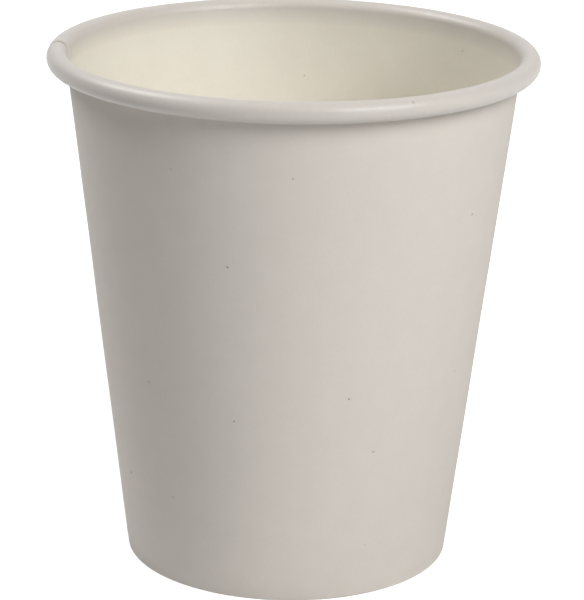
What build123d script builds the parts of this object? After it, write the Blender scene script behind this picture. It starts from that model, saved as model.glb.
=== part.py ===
from build123d import *
from math import asin, atan2, cos, degrees, hypot, radians, sin
import os

# Paper coffee cup in millimetres, +Z up, the origin at the centre of the foot plane.
# Two pieces of coated board: a wrapped side wall and a bottom disc sealed into its foot.

# overall sizes
rim_diameter = 90.0  # over the rolled rim, the size that a lid grips
cup_height = 96.5  # foot plane to the top of the rolled rim
foot_diameter = 60.4  # where the line of the outer face meets the foot plane

# board and seals
board = 0.35  # thickness of the coated cup board
seal_film = 0.02  # melted coating left in a sealed joint

# rolled rim: the board rolls outwards and its raw edge is tucked inside the roll
curl_diameter = 3.8
curl_tuck_turn = 125.0  # degrees of tighter roll past the lowest point, up to the raw edge
curl_tuck_gap = 0.05  # between the tucked turn and the outer face of the wall

# foot: the bottom edge of the wall is folded in and up around the skirt of the disc
fold_radius = 0.06  # inside radius of each bend of the fold
hem_clearance = 0.3  # raw edge of the folded hem to where the disc starts to bend

# bottom disc: flat, with its edge turned down as a skirt
disc_recess = 7.0  # foot plane to the underside of the disc
disc_bend_radius = 0.5  # inside radius of the turned edge
skirt_clearance = 0.15  # raw edge of the skirt to the inside of the fold

# side seam: one edge of the blank is lapped over the other along a straight line of the cone
lap_width = 6.0  # measured round the wall at half its height
lap_ramp = 1.6  # where the outer ply comes down beside the inner raw edge, measured likewise
seam_direction = 168.0  # degrees from +X to the outer raw edge

# worked-out places in the half plane of radius and height
rim_radius = rim_diameter / 2
foot_radius = foot_diameter / 2
curl_radius = curl_diameter / 2
curl_centre = Vector(rim_radius - curl_radius, cup_height - curl_radius)

# the outer face leans so that it runs from the foot corner to the inside turn of the curl
reach_out = curl_centre.X - foot_radius
reach_up = curl_centre.Y
lean = atan2(reach_out, reach_up) - asin((curl_radius - board) / hypot(reach_out, reach_up))
up_wall = Vector(sin(lean), cos(lean))
out_of_wall = Vector(cos(lean), -sin(lean))
lean_degrees = degrees(lean)

# the tucked turn is concentric with the board it follows, lower by this much
tuck_drop = (board + curl_tuck_gap) / (1 + sin(lean))
tuck_centre = curl_centre - Vector(0, tuck_drop)
curl_turn = 270.0 - lean_degrees  # from the wall over the top to the lowest point

fold_centre_height = board + fold_radius
fold_slot = board + 2 * seal_film  # the skirt and a film of coating on each side of it
disc_bend_height = disc_recess - disc_bend_radius
hem_height = disc_bend_height - hem_clearance

wall_half_height_radius = foot_radius + cup_height / 2 * sin(lean) / cos(lean)
lap_angle = degrees(lap_width / wall_half_height_radius)
ramp_angle = degrees(lap_ramp / wall_half_height_radius)
lap_end_direction = seam_direction + lap_angle
ramp_end_direction = lap_end_direction + ramp_angle


def half_plane(direction):
    # upright plane through the axis, its x running outwards at the given angle from +X
    turn = radians(direction)
    return Plane(origin=(0, 0, 0), x_dir=(cos(turn), sin(turn), 0), z_dir=(sin(turn), -cos(turn), 0))


def beside_outer_face(distance, height):
    # point at a height, a distance square to the line of the wall's outer face, outwards
    radius = foot_radius + (distance + height * sin(lean)) / cos(lean)
    return Vector(radius, height)


def hem_to_curl(offset, shift):
    # draws one face of the board from the hem's raw edge, round the foot and over the curl:
    # offset is 0 on the coated face and one board outside it, and shift moves the ply outwards
    bend = fold_radius + offset
    inner_bend = beside_outer_face(fold_radius - board - fold_slot - shift, fold_centre_height)
    outer_bend = beside_outer_face(shift - board - fold_radius, fold_centre_height)
    hem_foot = inner_bend - out_of_wall * bend
    hem_edge = hem_foot + up_wall * ((hem_height - fold_centre_height) / cos(lean))
    wall_foot = outer_bend + out_of_wall * bend
    curl_face = curl_radius - offset - shift
    wall_top = curl_centre - out_of_wall * curl_face
    below_bend = Vector(0, bend)

    hem = Line(hem_edge, hem_foot)
    CenterArc(inner_bend, bend, 180 - lean_degrees, 90 + lean_degrees)
    Line(inner_bend - below_bend, outer_bend - below_bend)
    CenterArc(outer_bend, bend, -90, 90 - lean_degrees)
    Line(wall_foot, wall_top)
    curl = CenterArc(curl_centre, curl_face, 180 - lean_degrees, -curl_turn)
    return hem, curl


def tucked_turn(offset, shift):
    # draws the same face carried on from the lowest point of the curl to the raw edge
    tuck_face = curl_radius - tuck_drop - offset - shift
    return CenterArc(tuck_centre, tuck_face, -90, -curl_tuck_turn)


def ply_outline(shift):
    # draws the whole section of one ply
    coated_hem, _ = hem_to_curl(0, shift)
    outer_hem, _ = hem_to_curl(board, shift)
    coated_tuck = tucked_turn(0, shift)
    outer_tuck = tucked_turn(board, shift)
    Line(coated_hem @ 0, outer_hem @ 0)
    Line(coated_tuck @ 1, outer_tuck @ 1)


# side wall: one ply nearly all the way round, the lap, and the ramp beside the inner raw edge
with BuildPart() as side_wall:
    with BuildSketch(half_plane(ramp_end_direction)):
        with BuildLine():
            ply_outline(shift=0)
        make_face()
    revolve(axis=Axis.Z, revolution_arc=360 - lap_angle - ramp_angle)

    # the lap's two plies are sealed together, and pressed to one where they cross the foot
    with BuildSketch(half_plane(seam_direction)):
        with BuildLine():
            coated_hem, coated_curl = hem_to_curl(offset=0, shift=0)
            outer_hem, outer_curl = hem_to_curl(offset=board, shift=board)
            Line(coated_hem @ 0, outer_hem @ 0)
            Line(coated_curl @ 1, outer_curl @ 1)
        make_face()
        with BuildLine():
            coated_tuck = tucked_turn(offset=0, shift=0)
            outer_tuck = tucked_turn(offset=board, shift=board)
            Line(coated_tuck @ 0, outer_tuck @ 0)
            Line(coated_tuck @ 1, outer_tuck @ 1)
        make_face()
    revolve(axis=Axis.Z, revolution_arc=lap_angle)

    # the outer ply comes down from the lap to where the single ply runs
    with BuildSketch(half_plane(lap_end_direction)):
        with BuildLine():
            ply_outline(shift=board)
        make_face()
    with BuildSketch(half_plane(ramp_end_direction)):
        with BuildLine():
            ply_outline(shift=0)
        make_face()
    loft(ruled=True)
side_wall.part.label = "side_wall"

# bottom disc: its skirt runs down between the wall and the hem
skirt_outer = -board - seal_film
skirt_inner = skirt_outer - board
skirt_end = board + skirt_clearance
disc_top = disc_recess + board
disc_bend = beside_outer_face(skirt_inner - disc_bend_radius, disc_bend_height)
with BuildPart() as bottom_disc:
    with BuildSketch(Plane.XZ):
        with BuildLine():
            Line((0, disc_recess), (0, disc_top))
            Line((0, disc_top), (disc_bend.X, disc_top))
            upper = CenterArc(disc_bend, disc_bend_radius + board, 90, -90 - lean_degrees)
            outer = Line(upper @ 1, beside_outer_face(skirt_outer, skirt_end))
            inner = Line(outer @ 1, beside_outer_face(skirt_inner, skirt_end))
            lower = CenterArc(disc_bend, disc_bend_radius, -lean_degrees, 90 + lean_degrees)
            Line(inner @ 1, lower @ 0)
            Line(lower @ 1, (0, disc_recess))
        make_face()
    revolve(axis=Axis.Z)
bottom_disc.part.label = "bottom_disc"

os.makedirs("parts", exist_ok=True)
export_step(side_wall.part, "parts/side_wall.step")
export_step(bottom_disc.part, "parts/bottom_disc.step")

print(f"wall leans {lean_degrees:.2f} degrees, lap {lap_angle:.2f} degrees, ramp {ramp_angle:.2f} degrees")
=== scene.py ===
import math

import bpy
from mathutils import Matrix, Vector


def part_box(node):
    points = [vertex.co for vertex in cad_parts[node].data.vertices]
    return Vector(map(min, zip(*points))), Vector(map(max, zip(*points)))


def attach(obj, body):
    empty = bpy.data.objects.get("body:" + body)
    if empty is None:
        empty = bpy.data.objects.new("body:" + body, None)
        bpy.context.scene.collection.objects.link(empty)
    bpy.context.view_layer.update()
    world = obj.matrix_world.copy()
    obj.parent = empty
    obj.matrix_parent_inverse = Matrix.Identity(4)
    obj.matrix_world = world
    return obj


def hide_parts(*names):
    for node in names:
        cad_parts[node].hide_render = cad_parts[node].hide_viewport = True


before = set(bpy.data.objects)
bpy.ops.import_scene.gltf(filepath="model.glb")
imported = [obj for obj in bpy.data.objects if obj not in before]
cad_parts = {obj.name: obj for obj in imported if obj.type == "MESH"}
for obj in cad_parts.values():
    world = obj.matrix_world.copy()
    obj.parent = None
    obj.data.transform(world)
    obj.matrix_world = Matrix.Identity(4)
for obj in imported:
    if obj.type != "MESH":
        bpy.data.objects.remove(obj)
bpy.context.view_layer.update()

scene = bpy.context.scene
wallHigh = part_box("side_wall")[1]
rimRadius = wallHigh.x
cupHeight = wallHigh.z
print("frame loaded:", ", ".join(sorted(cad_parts)))


# node helpers: an input is a value, or another node's output

def place(tree, kind, settings=None, inputs=None):
    node = tree.nodes.new(kind)
    for name, value in (settings or {}).items():
        setattr(node, name, value)
    for name, value in (inputs or {}).items():
        if isinstance(value, bpy.types.NodeSocket):
            tree.links.new(value, node.inputs[name])
        else:
            node.inputs[name].default_value = value
    return node


def calc(tree, operation, first, second=0.0, third=0.0):
    inputs = {0: first, 1: second, 2: third}
    return place(tree, "ShaderNodeMath", {"operation": operation}, inputs).outputs[0]


def combine(tree, operation, first, second=(0, 0, 0)):
    node = place(tree, "ShaderNodeVectorMath", {"operation": operation}, {0: first, 1: second})
    return node.outputs["Vector"]


def scaled(tree, vector, factor):
    node = place(tree, "ShaderNodeVectorMath", {"operation": "SCALE"}, {0: vector, "Scale": factor})
    return node.outputs["Vector"]


def ramp(tree, value, fromLow, fromHigh, toLow=0.0, toHigh=1.0, curve="SMOOTHSTEP"):
    inputs = {"Value": value, "From Min": fromLow, "From Max": fromHigh, "To Min": toLow, "To Max": toHigh}
    return place(tree, "ShaderNodeMapRange", {"interpolation_type": curve}, inputs).outputs[0]


def straight(tree, value, fromLow, fromHigh, toLow=0.0, toHigh=1.0):
    return ramp(tree, value, fromLow, fromHigh, toLow, toHigh, "LINEAR")


# the wrapped wall, in metres and degrees
wall = {
    "thickness": 0.00035,
    "footDiameter": 0.0604,     # where the outer face's line meets the foot plane
    "curlDiameter": 0.0038,
    "tuckTurn": 125.0,          # tighter roll past the curl's lowest point
    "tuckGap": 0.00005,
    "foldRadius": 0.00006,
    "sealFilm": 0.00002,
    "hemHeight": 0.0062,
    "lapWidth": 0.006,
    "lapRamp": 0.0016,
    "seamDirection": 168.0,     # from +X to the outer raw edge
    "plyStep": 0.00037,         # one board and its seal
    "liftShare": 0.25,          # of the wall's height, where the inner ply's lift ends
    "sway": 0.00012,            # how far the wall wanders from round
    "swayFrom": 0.008,          # height where it starts
    "swayTo": 0.045,
    "creamAndBounceFade": 0.0035,        # under the curl, where the inside's cream tint, partly painted bounce light, starts
    "columns": 352,
    "gather": 0.6,              # pulls the columns towards both raw edges
    "rows": {"hem": 7, "bend": 7, "foot": 3, "wall": 30, "curl": 30, "tuck": 14},
    "edgeBevel": 0.00007,
    "seed": 4.0,
}

halfBoard = wall["thickness"] / 2
footRadius = wall["footDiameter"] / 2
curlRadius = wall["curlDiameter"] / 2
curlCentre = Vector((rimRadius - curlRadius, cupHeight - curlRadius))
reach = curlCentre - Vector((footRadius, 0))
lean = math.atan2(reach.x, reach.y) - math.asin((curlRadius - wall["thickness"]) / reach.length)
upWall = Vector((math.sin(lean), math.cos(lean)))
outOfWall = Vector((math.cos(lean), -math.sin(lean)))
middleRadius = footRadius + cupHeight / 2 * math.tan(lean)
lapAngle = wall["lapWidth"] / middleRadius
rampAngle = wall["lapRamp"] / middleRadius


def besideFace(distance, height):    # square off the line of the wall's outer face
    return Vector((footRadius + (distance + height * math.sin(lean)) / math.cos(lean), height))


def turned(degrees):
    return Vector((math.cos(math.radians(degrees)), math.sin(math.radians(degrees))))


# one point of a section's middle line; push is the way an outer ply steps, loosen the way
# the tucked turn gives beside the seam, and lift how far an inner ply rises over the outer
def station(point, push=(0, 0), loosen=(0, 0), lift=0.0, sway=0.0, creamAndBounce=0.0):
    return {"point": Vector(point), "push": Vector(push), "loosen": Vector(loosen), "lift": lift,
            "sway": sway, "creamAndBounce": creamAndBounce}


def shares(count, first=1):
    return [i / count for i in range(first, count + 1)]


def wallSection():
    rows = wall["rows"]
    bend = wall["foldRadius"] + halfBoard
    bendHeight = wall["thickness"] + wall["foldRadius"]
    slot = wall["thickness"] + 2 * wall["sealFilm"]
    innerBend = besideFace(wall["foldRadius"] - wall["thickness"] - slot, bendHeight)
    outerBend = besideFace(-wall["thickness"] - wall["foldRadius"], bendHeight)
    hemFoot = innerBend - outOfWall * bend
    hemEdge = hemFoot + upWall * ((wall["hemHeight"] - bendHeight) / math.cos(lean))
    wallFoot = outerBend + outOfWall * bend
    roll = curlRadius - halfBoard
    wallTop = curlCentre - outOfWall * roll
    drop = (wall["thickness"] + wall["tuckGap"]) / (1 + math.sin(lean))
    tuckCentre = curlCentre - Vector((0, drop))
    leanDegrees = math.degrees(lean)
    sideways = Vector((1 / math.cos(lean), 0))
    below = Vector((0, bend))
    line = []
    for f in shares(rows["hem"], 0):       # hem, from its raw edge down
        line.append(station(hemEdge.lerp(hemFoot, f), -sideways, lift=1))
    for f in shares(rows["bend"]):         # round the inner bend
        way = turned(180 - leanDegrees + f * (90 + leanDegrees))
        line.append(station(innerBend + way * bend, -sideways, lift=1))
    for f in shares(rows["foot"]):         # flat of the foot
        point = (innerBend - below).lerp(outerBend - below, f)
        line.append(station(point, sideways * (2 * f - 1), lift=1))
    for f in shares(rows["bend"]):         # round the outer bend
        way = turned(-90 + f * (90 - leanDegrees))
        line.append(station(outerBend + way * bend, sideways, lift=1))
    for f in shares(rows["wall"]):         # up the wall
        point = wallFoot.lerp(wallTop, f)
        fade = min(1, max(0, (point.y - wall["swayFrom"]) / (wall["swayTo"] - wall["swayFrom"])))
        # share of the inside's cream tint: the coating's own cream, deepened with painted bounce light
        # from inside the cup
        creamAndBounce = min(1, (wallTop.y - point.y) / wall["creamAndBounceFade"])
        lift = max(0, 1 - f / wall["liftShare"])
        line.append(station(point, sideways.lerp(outOfWall, f), lift=lift, sway=fade, creamAndBounce=creamAndBounce))
    for f in shares(rows["curl"]):         # over the curl
        way = turned(180 - leanDegrees - f * (270 - leanDegrees))
        line.append(station(curlCentre + way * roll, -way, sway=1))
    for f in shares(rows["tuck"]):         # the tucked turn
        way = turned(-90 - f * wall["tuckTurn"])
        pull = -(way + Vector((0, 1))) / (1 + math.sin(lean))
        line.append(station(tuckCentre + way * (roll - drop), -way, pull, sway=1))
    return line


# the bottom disc, in metres
disc = {
    "thickness": 0.00035,
    "recess": 0.007,            # foot plane to its underside
    "bendRadius": 0.0005,
    "skirtEnd": 0.0008,         # above the foot plane
    "crown": 0.00025,           # how far the middle stands up
    "sway": 0.00006,
    "columns": 180,
    "rows": {"flat": 26, "bend": 8, "skirt": 6},
    "edgeBevel": 0.00006,
    "seed": 9.0,
}


def discSection():
    rows = disc["rows"]
    half = disc["thickness"] / 2
    bend = disc["bendRadius"] + half
    skirtFace = -wall["thickness"] - wall["sealFilm"] - half
    bendCentre = besideFace(skirtFace - bend, disc["recess"] - disc["bendRadius"])
    level = disc["recess"] + half
    line = []
    for f in shares(rows["flat"], 0):      # from the middle out to the bend
        rise = disc["crown"] * (1 - f ** 2) ** 2
        line.append(station((bendCentre.x * f, level + rise), sway=(1 - f ** 4)))
    for f in shares(rows["bend"]):
        line.append(station(bendCentre + turned(90 - f * (90 + math.degrees(lean))) * bend))
    skirtTop = line[-1]["point"]
    skirtFoot = besideFace(skirtFace, disc["skirtEnd"])
    for f in shares(rows["skirt"]):
        line.append(station(skirtTop.lerp(skirtFoot, f)))
    return line


# swayWay is the way the sheet wanders: outwards on the wall, up and down on the disc
def sectionObject(name, line, swayWay):
    mesh = bpy.data.meshes.new(name)
    points = [(s["point"].x, 0, s["point"].y) for s in line]
    mesh.from_pydata(points, [(i, i + 1) for i in range(len(line) - 1)], [])
    along = [0.0]
    for before, after in zip(line, line[1:]):
        along.append(along[-1] + (after["point"] - before["point"]).length)
    vectors = {
        "push": [(s["push"].x, 0, s["push"].y) for s in line],
        "loosen": [(s["loosen"].x, 0, s["loosen"].y) for s in line],
        "lift": [(0, 0, s["lift"]) for s in line],
        "sway": [(swayWay[0] * s["sway"], 0, swayWay[1] * s["sway"]) for s in line],
    }
    for key, values in vectors.items():
        layer = mesh.attributes.new(key, "FLOAT_VECTOR", "POINT")
        layer.data.foreach_set("vector", [c for value in values for c in value])
    for key, values in {"along": along, "creamAndBounce": [s["creamAndBounce"] for s in line]}.items():
        mesh.attributes.new(key, "FLOAT", "POINT").data.foreach_set("value", values)
    obj = bpy.data.objects.new(name, mesh)
    scene.collection.objects.link(obj)
    return obj, along


# what both pieces of board share when they are wrapped; angles in radians
sheet = {
    "nearSeam": 0.14,           # where the tucked turn gives, to each side of the seam
    "nearLift": 0.03,           # where the inner ply climbs on to the outer
    "wanderScale": 1.3,
    "wanderPitch": 22.0,        # wanders to the metre of the section's length
    "wanderLow": 0.2,           # the noise's own range, taken as fully in and fully out
    "wanderHigh": 0.8,
    "mergeWithin": 0.000001,
    "edgeSegments": 2,
    "edgeAngle": 55.0,          # degrees
}


# the tree that wraps a section round the axis as one sheet of board
def wrapTree():
    tree = bpy.data.node_groups.new("wrapBoard", "GeometryNodeTree")
    tree.interface.new_socket("Section", in_out="INPUT", socket_type="NodeSocketGeometry")
    sockets = {
        "Columns": ("NodeSocketInt", 360), "Gather": ("NodeSocketFloat", 0.0),
        "First Direction": ("NodeSocketFloat", 0.0), "Turn": ("NodeSocketFloat", math.tau),
        "Lap": ("NodeSocketFloat", 0.0), "Ramp": ("NodeSocketFloat", 0.01),
        "Ply Step": ("NodeSocketFloat", 0.0), "Sway": ("NodeSocketFloat", 0.0),
        "Seed": ("NodeSocketFloat", 0.0), "Fan Start": ("NodeSocketFloat", 0.0),
        "Fan Ratio": ("NodeSocketFloat", 1.0), "Board": ("NodeSocketMaterial", None),
    }
    for name, (kind, value) in sockets.items():
        socket = tree.interface.new_socket(name, in_out="INPUT", socket_type=kind)
        if value is not None:
            socket.default_value = value
    tree.interface.new_socket("Sheet", in_out="OUTPUT", socket_type="NodeSocketGeometry")
    given = place(tree, "NodeGroupInput").outputs
    rows = place(tree, "GeometryNodeAttributeDomainSize", {"component": "MESH"},
                 {"Geometry": given["Section"]}).outputs["Point Count"]
    grid = place(tree, "GeometryNodeMeshGrid", None, {"Vertices X": given["Columns"], "Vertices Y": rows})
    index = place(tree, "GeometryNodeInputIndex").outputs[0]
    column = calc(tree, "FLOOR", calc(tree, "DIVIDE", calc(tree, "ADD", index, 0.5), rows))
    row = calc(tree, "SUBTRACT", index, calc(tree, "MULTIPLY", column, rows))

    def read(source, kind="FLOAT_VECTOR"):    # the section's value at this row
        inputs = {"Geometry": given["Section"], "Value": source, "Index": row}
        settings = {"data_type": kind, "domain": "POINT"}
        return place(tree, "GeometryNodeSampleIndex", settings, inputs).outputs["Value"]

    def named(name, kind="FLOAT_VECTOR"):
        node = place(tree, "GeometryNodeInputNamedAttribute", {"data_type": kind}, {"Name": name})
        return read(node.outputs["Attribute"], kind)

    # angle of each column, with the columns gathered towards both raw edges
    share = calc(tree, "DIVIDE", column, calc(tree, "SUBTRACT", given["Columns"], 1.0))
    wave = calc(tree, "SINE", calc(tree, "MULTIPLY", share, math.tau))
    pulled = calc(tree, "MULTIPLY", calc(tree, "MULTIPLY", wave, given["Gather"]), 1 / math.tau)
    angle = calc(tree, "MULTIPLY", calc(tree, "SUBTRACT", share, pulled), given["Turn"])
    direction = calc(tree, "ADD", angle, given["First Direction"])

    # the outer ply lies one step out over the lap, then ramps down beside the inner raw edge
    lapEnd = calc(tree, "ADD", given["Lap"], given["Ramp"])
    lapStart = calc(tree, "SUBTRACT", given["Turn"], given["Lap"])
    outerPly = calc(tree, "SUBTRACT", 1.0, ramp(tree, angle, given["Lap"], lapEnd))
    afterSeam = ramp(tree, angle, lapEnd, calc(tree, "ADD", lapEnd, sheet["nearSeam"]), 1.0, 0.0)
    beforeSeam = ramp(tree, angle, calc(tree, "SUBTRACT", lapStart, sheet["nearSeam"]), lapStart)
    innerPly = ramp(tree, angle, calc(tree, "SUBTRACT", lapStart, sheet["nearLift"]), lapStart)

    # slow wander of the sheet, the same on both sides of the join
    ring = place(tree, "ShaderNodeCombineXYZ", None, {
        "X": calc(tree, "COSINE", direction), "Y": calc(tree, "SINE", direction),
        "Z": calc(tree, "MULTIPLY", named("along", "FLOAT"), sheet["wanderPitch"])}).outputs[0]
    noise = place(tree, "ShaderNodeTexNoise", {"noise_dimensions": "4D"}, {
        "Vector": ring, "W": given["Seed"], "Scale": sheet["wanderScale"], "Detail": 1.0}).outputs[0]
    swing = straight(tree, noise, sheet["wanderLow"], sheet["wanderHigh"], -1.0, 1.0)
    wander = calc(tree, "MULTIPLY", swing, given["Sway"])

    flat = read(place(tree, "GeometryNodeInputPosition").outputs[0])
    moves = {"push": outerPly, "loosen": calc(tree, "ADD", afterSeam, beforeSeam), "lift": innerPly}
    for name, amount in moves.items():
        move = scaled(tree, named(name), calc(tree, "MULTIPLY", amount, given["Ply Step"]))
        flat = combine(tree, "ADD", flat, move)
    flat = combine(tree, "ADD", flat, scaled(tree, named("sway"), wander))
    swung = place(tree, "ShaderNodeVectorRotate", {"rotation_type": "Z_AXIS"},
                  {"Vector": flat, "Angle": direction}).outputs[0]
    board = place(tree, "GeometryNodeSetPosition", None,
                  {"Geometry": grid.outputs["Mesh"], "Position": swung}).outputs[0]

    # the blank laid out flat, in metres, as the pattern's own map
    halfTurn = calc(tree, "MULTIPLY", given["Turn"], 0.5)
    fan = calc(tree, "MULTIPLY", calc(tree, "SUBTRACT", angle, halfTurn), given["Fan Ratio"])
    slant = calc(tree, "ADD", named("along", "FLOAT"), given["Fan Start"])
    layout = place(tree, "ShaderNodeCombineXYZ", None, {
        "X": calc(tree, "MULTIPLY", slant, calc(tree, "SINE", fan)),
        "Y": calc(tree, "MULTIPLY", slant, calc(tree, "COSINE", fan))}).outputs[0]
    layout = place(tree, "GeometryNodeFieldOnDomain", {"data_type": "FLOAT_VECTOR", "domain": "POINT"},
                   {"Value": layout}).outputs[0]
    board = place(tree, "GeometryNodeStoreNamedAttribute", {"data_type": "FLOAT2", "domain": "CORNER"},
                  {"Geometry": board, "Name": "blank", "Value": layout}).outputs[0]
    board = place(tree, "GeometryNodeStoreNamedAttribute", {"data_type": "FLOAT", "domain": "POINT"},
                  # carries the share of the cream tint, partly painted bounce light, to the faces
                  {"Geometry": board, "Name": "creamAndBounce", "Value": named("creamAndBounce", "FLOAT")}).outputs[0]
    board = place(tree, "GeometryNodeMergeByDistance", None,
                  {"Geometry": board, "Distance": sheet["mergeWithin"]}).outputs[0]
    board = place(tree, "GeometryNodeSetShadeSmooth", None, {"Geometry": board}).outputs[0]
    board = place(tree, "GeometryNodeRealizeInstances", None, {"Geometry": board}).outputs[0]
    board = place(tree, "GeometryNodeSetMaterial", None,
                  {"Geometry": board, "Material": given["Board"]}).outputs[0]
    place(tree, "NodeGroupOutput", None, {"Sheet": board})
    return tree


def plainMesh(obj):    # what the modifiers make becomes the mesh itself
    shown = obj.evaluated_get(bpy.context.evaluated_depsgraph_get())
    mesh = bpy.data.meshes.new_from_object(shown)
    mesh.name = obj.name
    obj.modifiers.clear()
    obj.data = mesh


def wrapBoard(obj, tree, values, piece, faces):
    wrap = obj.modifiers.new("wrapBoard", "NODES")
    wrap.node_group = tree
    for item in tree.interface.items_tree:
        if item.in_out == "INPUT" and item.name in values:
            wrap[item.identifier] = values[item.name]
    plainMesh(obj)
    for material in faces[1:]:
        obj.data.materials.append(material)
    body = obj.modifiers.new("thickness", "SOLIDIFY")
    body.thickness = piece["thickness"]
    body.offset = 0
    body.use_even_offset = True
    body.material_offset = 1        # the coated face
    body.material_offset_rim = 2    # the raw edges
    edge = obj.modifiers.new("rawEdges", "BEVEL")
    edge.width = piece["edgeBevel"]
    edge.segments = sheet["edgeSegments"]
    edge.limit_method = "ANGLE"
    edge.angle_limit = math.radians(sheet["edgeAngle"])
    plainMesh(obj)
    for polygon in obj.data.polygons:
        polygon.use_smooth = True


# finishes; every pattern is in millimetres of the blank laid out flat

def newFinish(name):
    material = bpy.data.materials.new(name)
    material.use_nodes = True
    tree = material.node_tree
    flatMap = place(tree, "ShaderNodeUVMap", {"uv_map": "blank"}).outputs[0]
    return material, tree, tree.nodes["Principled BSDF"], scaled(tree, flatMap, 1000.0)


def grain(tree, where, scale, detail, rough=0.5, stretch=(1, 1, 1)):
    inputs = {"Vector": combine(tree, "MULTIPLY", where, stretch), "Scale": scale, "Detail": detail,
              "Roughness": rough}
    return place(tree, "ShaderNodeTexNoise", None, inputs).outputs[0]


def blend(tree, share, first, second):
    node = place(tree, "ShaderNodeMix", {"data_type": "RGBA"}, {"Factor": share})
    for socket, value in ((node.inputs[6], first), (node.inputs[7], second)):
        if isinstance(value, bpy.types.NodeSocket):
            tree.links.new(value, socket)
        else:
            socket.default_value = (*value, 1)
    return node.outputs[2]


def tone(tree, value, dark, light, low=0.3, high=0.7):
    return blend(tree, straight(tree, value, low, high), dark, light)


fleck = {
    "raggedScale": 5.0, "raggedBy": 0.16,     # how rough the outline is
    "core": 0.3,                # share of the radius that is fully dark
    "faintest": 0.3, "darkest": 0.85,
}


def flecks(tree, where, look):
    scale = 1 / look["fleckSpacing"]
    largest = look["fleckRadius"] * scale
    ragged = place(tree, "ShaderNodeTexNoise", None, {
        "Vector": where, "Scale": fleck["raggedScale"], "Detail": 1.0}).outputs["Color"]
    bent = combine(tree, "ADD", where, scaled(tree, ragged, fleck["raggedBy"]))
    cells = place(tree, "ShaderNodeTexVoronoi", {"voronoi_dimensions": "2D"},
                  {"Vector": bent, "Scale": scale})
    drawn = place(tree, "ShaderNodeSeparateColor", None, {"Color": cells.outputs["Color"]}).outputs
    size = straight(tree, drawn[0], 0.0, 1.0, largest / 2, largest)
    core = calc(tree, "MULTIPLY", size, fleck["core"])
    spot = ramp(tree, cells.outputs["Distance"], core, size, 1.0, 0.0)
    kept = calc(tree, "LESS_THAN", drawn[1], look["fleckShare"])
    depth = straight(tree, drawn[2], 0.0, 1.0, fleck["faintest"], fleck["darkest"])
    return calc(tree, "MULTIPLY", calc(tree, "MULTIPLY", spot, kept), depth)


def relief(tree, height, depth, strength, under=None):    # depth in metres
    inputs = {"Height": height, "Distance": depth, "Strength": strength}
    if under is not None:
        inputs["Normal"] = under
    return place(tree, "ShaderNodeBump", None, inputs).outputs[0]


outerLook = {
    "light": (0.728, 0.681, 0.625), "dark": (0.702, 0.655, 0.598),
    "fleck": (0.20, 0.17, 0.14), "fleckSpacing": 16.0, "fleckRadius": 0.34, "fleckShare": 0.55,
    "cloud": {"scale": 0.22, "detail": 3.0},
    "fibre": {"scale": 1.5, "detail": 4.0, "rough": 0.6, "stretch": (1.3, 0.75, 1)},
    "tooth": {"scale": 5.0, "detail": 3.0, "rough": 0.6, "stretch": (1.2, 0.8, 1)},
    "cloudShare": 0.45, "fibreShare": 0.55, "toneFrom": 0.36, "toneTo": 0.64,
    "cloudRelief": 0.00004, "fibreRelief": 0.00002, "toothRelief": 0.00001, "reliefStrength": 0.25,
    "smoothest": 0.70, "roughest": 0.84, "specular": 0.4,
}


def outerBoardFinish():
    material, tree, shader, where = newFinish("uncoatedBoard")
    look = outerLook
    cloud = grain(tree, where, **look["cloud"])
    fibre = grain(tree, where, **look["fibre"])
    tooth = grain(tree, where, **look["tooth"])
    mixed = calc(tree, "ADD", calc(tree, "MULTIPLY", cloud, look["cloudShare"]),
                 calc(tree, "MULTIPLY", fibre, look["fibreShare"]))
    colour = tone(tree, mixed, look["dark"], look["light"], look["toneFrom"], look["toneTo"])
    colour = blend(tree, flecks(tree, where, look), colour, look["fleck"])
    tree.links.new(colour, shader.inputs["Base Color"])
    rough = straight(tree, fibre, 0.3, 0.7, look["smoothest"], look["roughest"])
    tree.links.new(rough, shader.inputs["Roughness"])
    bump = relief(tree, cloud, look["cloudRelief"], look["reliefStrength"])
    bump = relief(tree, fibre, look["fibreRelief"], look["reliefStrength"], bump)
    bump = relief(tree, tooth, look["toothRelief"], look["reliefStrength"], bump)
    tree.links.new(bump, shader.inputs["Normal"])
    shader.inputs["Specular IOR Level"].default_value = look["specular"]
    return material


coatedLook = {
    "rimLight": (0.660, 0.617, 0.570), "rimDark": (0.636, 0.592, 0.544),
    # inside tones: the coating's cream, deepened with painted bounce light from inside the cup
    "creamAndBounceLighter": (0.875, 0.836, 0.738), "creamAndBounceDarker": (0.850, 0.808, 0.706),
    "fleck": (0.24, 0.20, 0.16), "fleckSpacing": 20.0, "fleckRadius": 0.32, "fleckShare": 0.4,
    "cloud": {"scale": 0.18, "detail": 3.0},
    "fibre": {"scale": 1.3, "detail": 4.0, "rough": 0.55, "stretch": (1.4, 0.6, 1)},
    "film": {"scale": 0.6, "detail": 2.0},
    "cloudShare": 0.5, "fibreShare": 0.5, "toneFrom": 0.36, "toneTo": 0.64,
    "filmRelief": 0.00004, "filmStrength": 0.15, "fibreRelief": 0.00001, "fibreStrength": 0.2,
    "smoothest": 0.36, "roughest": 0.46,
}


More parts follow.
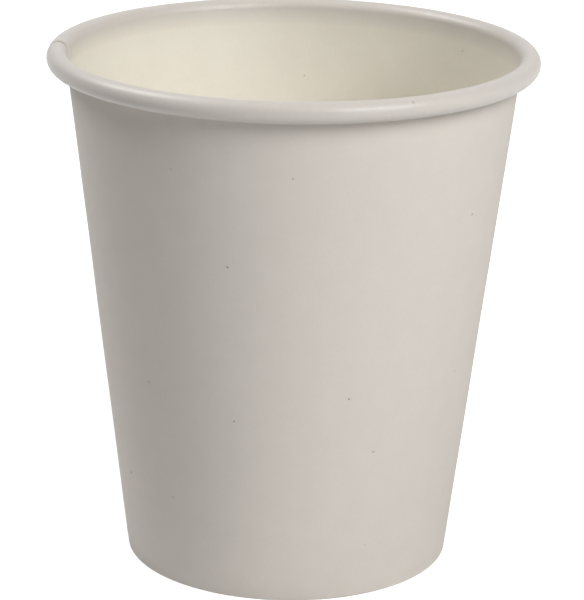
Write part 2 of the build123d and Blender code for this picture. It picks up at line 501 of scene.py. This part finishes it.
def coatedBoardFinish():
    material, tree, shader, where = newFinish("coatedBoard")
    look = coatedLook
    cloud = grain(tree, where, **look["cloud"])
    fibre = grain(tree, where, **look["fibre"])
    film = grain(tree, where, **look["film"])
    mixed = calc(tree, "ADD", calc(tree, "MULTIPLY", cloud, look["cloudShare"]),
                 calc(tree, "MULTIPLY", fibre, look["fibreShare"]))
    rim = tone(tree, mixed, look["rimDark"], look["rimLight"], look["toneFrom"], look["toneTo"])
    # the inside gets the coating's cream deepened with painted bounce light; the rim keeps the coating's
    # own colour
    insideWithBounce = tone(tree, mixed, look["creamAndBounceDarker"], look["creamAndBounceLighter"], look["toneFrom"], look["toneTo"])
    creamAndBounce = place(tree, "ShaderNodeAttribute", {"attribute_name": "creamAndBounce"}).outputs["Fac"]
    colour = blend(tree, creamAndBounce, rim, insideWithBounce)
    colour = blend(tree, flecks(tree, where, look), colour, look["fleck"])
    tree.links.new(colour, shader.inputs["Base Color"])
    rough = straight(tree, film, 0.3, 0.7, look["smoothest"], look["roughest"])
    tree.links.new(rough, shader.inputs["Roughness"])
    bump = relief(tree, film, look["filmRelief"], look["filmStrength"])
    bump = relief(tree, fibre, look["fibreRelief"], look["fibreStrength"], bump)
    tree.links.new(bump, shader.inputs["Normal"])
    return material


edgeLook = {
    "light": (0.78, 0.745, 0.69), "dark": (0.66, 0.62, 0.56),
    "fray": {"scale": 3.0, "detail": 4.0, "rough": 0.7},
    "smoothest": 0.85, "roughest": 0.97, "relief": 0.00005, "reliefStrength": 0.5,
}


def rawEdgeFinish():
    material, tree, shader, where = newFinish("rawEdge")
    look = edgeLook
    fray = grain(tree, where, **look["fray"])
    rough = straight(tree, fray, 0.3, 0.7, look["smoothest"], look["roughest"])
    tree.links.new(tone(tree, fray, look["dark"], look["light"]), shader.inputs["Base Color"])
    tree.links.new(rough, shader.inputs["Roughness"])
    tree.links.new(relief(tree, fray, look["relief"], look["reliefStrength"]), shader.inputs["Normal"])
    return material


outerBoard = outerBoardFinish()
boardFaces = (outerBoard, coatedBoardFinish(), rawEdgeFinish())
print("finishes made:", ", ".join(m.name for m in boardFaces))


# pieces

def makeWall(tree):
    line = wallSection()
    obj, along = sectionObject("cupWall", line, (1, 0))
    alongWallFoot = next(a for a, s in zip(along, line) if s["creamAndBounce"] > 0)
    values = {
        "Columns": wall["columns"], "Gather": wall["gather"],
        "First Direction": math.radians(wall["seamDirection"]),
        "Turn": math.tau + lapAngle, "Lap": lapAngle, "Ramp": rampAngle,
        "Ply Step": wall["plyStep"], "Sway": wall["sway"], "Seed": wall["seed"],
        "Fan Start": footRadius / math.sin(lean) - alongWallFoot, "Fan Ratio": math.sin(lean),
        "Board": outerBoard,
    }
    wrapBoard(obj, tree, values, wall, boardFaces)
    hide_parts("side_wall")
    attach(obj, "root")
    print("side wall wrapped:", len(obj.data.polygons), "faces")


def makeDisc(tree):
    obj = sectionObject("cupBase", discSection(), (0, 1))[0]
    values = {
        "Columns": disc["columns"], "Sway": disc["sway"], "Seed": disc["seed"], "Board": outerBoard,
    }
    wrapBoard(obj, tree, values, disc, boardFaces)
    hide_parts("bottom_disc")
    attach(obj, "root")
    print("bottom disc pressed:", len(obj.data.polygons), "faces")


boardTree = wrapTree()
makeWall(boardTree)
makeDisc(boardTree)


# floor, lamps and world; a lamp is its azimuth from the front towards +X, elevation, distance,
# size, and the level it gives a white face turned to it
studio = {
    "floorSize": 6.0, "floorTone": 0.68, "floorMottle": 0.01, "mottleScale": 6.0,
    "floorRoughness": 0.9, "floorLift": 0.76,
    "ambient": 0.035,
    "middle": (0.0, 0.0, 0.05),
    "keyLamp": (42.0, 36.0, 1.3, 0.75, 0.80),
    "backLamp": (-112.0, 50.0, 1.3, 0.7, 0.54),
}


def makeFloor():
    half = studio["floorSize"] / 2
    corners = [(-half, -half, 0), (half, -half, 0), (half, half, 0), (-half, half, 0)]
    mesh = bpy.data.meshes.new("paleFloor")
    mesh.from_pydata(corners, [], [(0, 1, 2, 3)])
    floor = bpy.data.objects.new("paleFloor", mesh)
    scene.collection.objects.link(floor)
    material = bpy.data.materials.new("paleFloorPaint")
    material.use_nodes = True
    tree = material.node_tree
    shader = tree.nodes["Principled BSDF"]
    shader.inputs["Roughness"].default_value = studio["floorRoughness"]
    where = place(tree, "ShaderNodeTexCoord").outputs["Object"]
    mottle = place(tree, "ShaderNodeTexNoise", None,
                   {"Vector": where, "Scale": studio["mottleScale"]}).outputs[0]
    dark = (studio["floorTone"] - studio["floorMottle"],) * 3
    light = (studio["floorTone"] + studio["floorMottle"],) * 3
    tree.links.new(tone(tree, mottle, dark, light), shader.inputs["Base Color"])
    shader.inputs["Emission Color"].default_value = (1, 1, 1, 1)
    seen = place(tree, "ShaderNodeLightPath").outputs
    direct = calc(tree, "MAXIMUM", seen["Is Camera Ray"], seen["Is Glossy Ray"])
    lift = calc(tree, "MULTIPLY", direct, studio["floorLift"])
    tree.links.new(lift, shader.inputs["Emission Strength"])
    floor.data.materials.append(material)


def makeLamp(name):
    azimuth, elevation, distance, size, level = studio[name]
    data = bpy.data.lights.new(name, "AREA")
    data.shape = "DISK"
    data.size = size
    data.energy = level * math.pi ** 2 * distance ** 2
    lamp = bpy.data.objects.new(name, data)
    scene.collection.objects.link(lamp)
    across = math.radians(azimuth)
    up = math.radians(elevation)
    way = Vector((math.sin(across) * math.cos(up), -math.cos(across) * math.cos(up), math.sin(up)))
    lamp.location = Vector(studio["middle"]) + way * distance
    lamp.rotation_euler = way.to_track_quat("Z", "Y").to_euler()


def makeWorld():    # white where it is seen or mirrored, dim where it lights
    world = bpy.data.worlds.new("paleStudio")
    world.use_nodes = True
    scene.world = world
    tree = world.node_tree
    seen = place(tree, "ShaderNodeLightPath").outputs
    direct = calc(tree, "MAXIMUM", seen["Is Camera Ray"], seen["Is Glossy Ray"])
    direct = calc(tree, "MAXIMUM", direct, seen["Is Transmission Ray"])
    shader = tree.nodes["Background"]
    shader.inputs["Color"].default_value = (1, 1, 1, 1)
    tree.links.new(straight(tree, direct, 0.0, 1.0, studio["ambient"], 1.0), shader.inputs["Strength"])


makeFloor()
makeLamp("keyLamp")
makeLamp("backLamp")
makeWorld()
scene.view_settings.view_transform = "Standard"
print("floor, lamps and world made")


# the camera, in metres, degrees and millimetres of lens
view = {
    "distance": 0.5136,         # in front of the cup's axis
    "height": 0.2107,           # above the foot plane
    "pan": -0.042, "tilt": 17.58, "roll": 0.922,
    "lens": 172.7, "sensor": 36,
}


def makeCamera():
    data = bpy.data.cameras.new("camera")
    data.lens = view["lens"]
    data.sensor_width = view["sensor"]
    camera = bpy.data.objects.new("camera", data)
    scene.collection.objects.link(camera)
    camera.location = (0, -view["distance"], view["height"])
    turn = (Matrix.Rotation(math.radians(view["pan"]), 4, "Z")
            @ Matrix.Rotation(math.radians(90 - view["tilt"]), 4, "X")
            @ Matrix.Rotation(math.radians(view["roll"]), 4, "Z"))
    camera.rotation_euler = turn.to_euler()
    scene.camera = camera


makeCamera()
print("camera set")

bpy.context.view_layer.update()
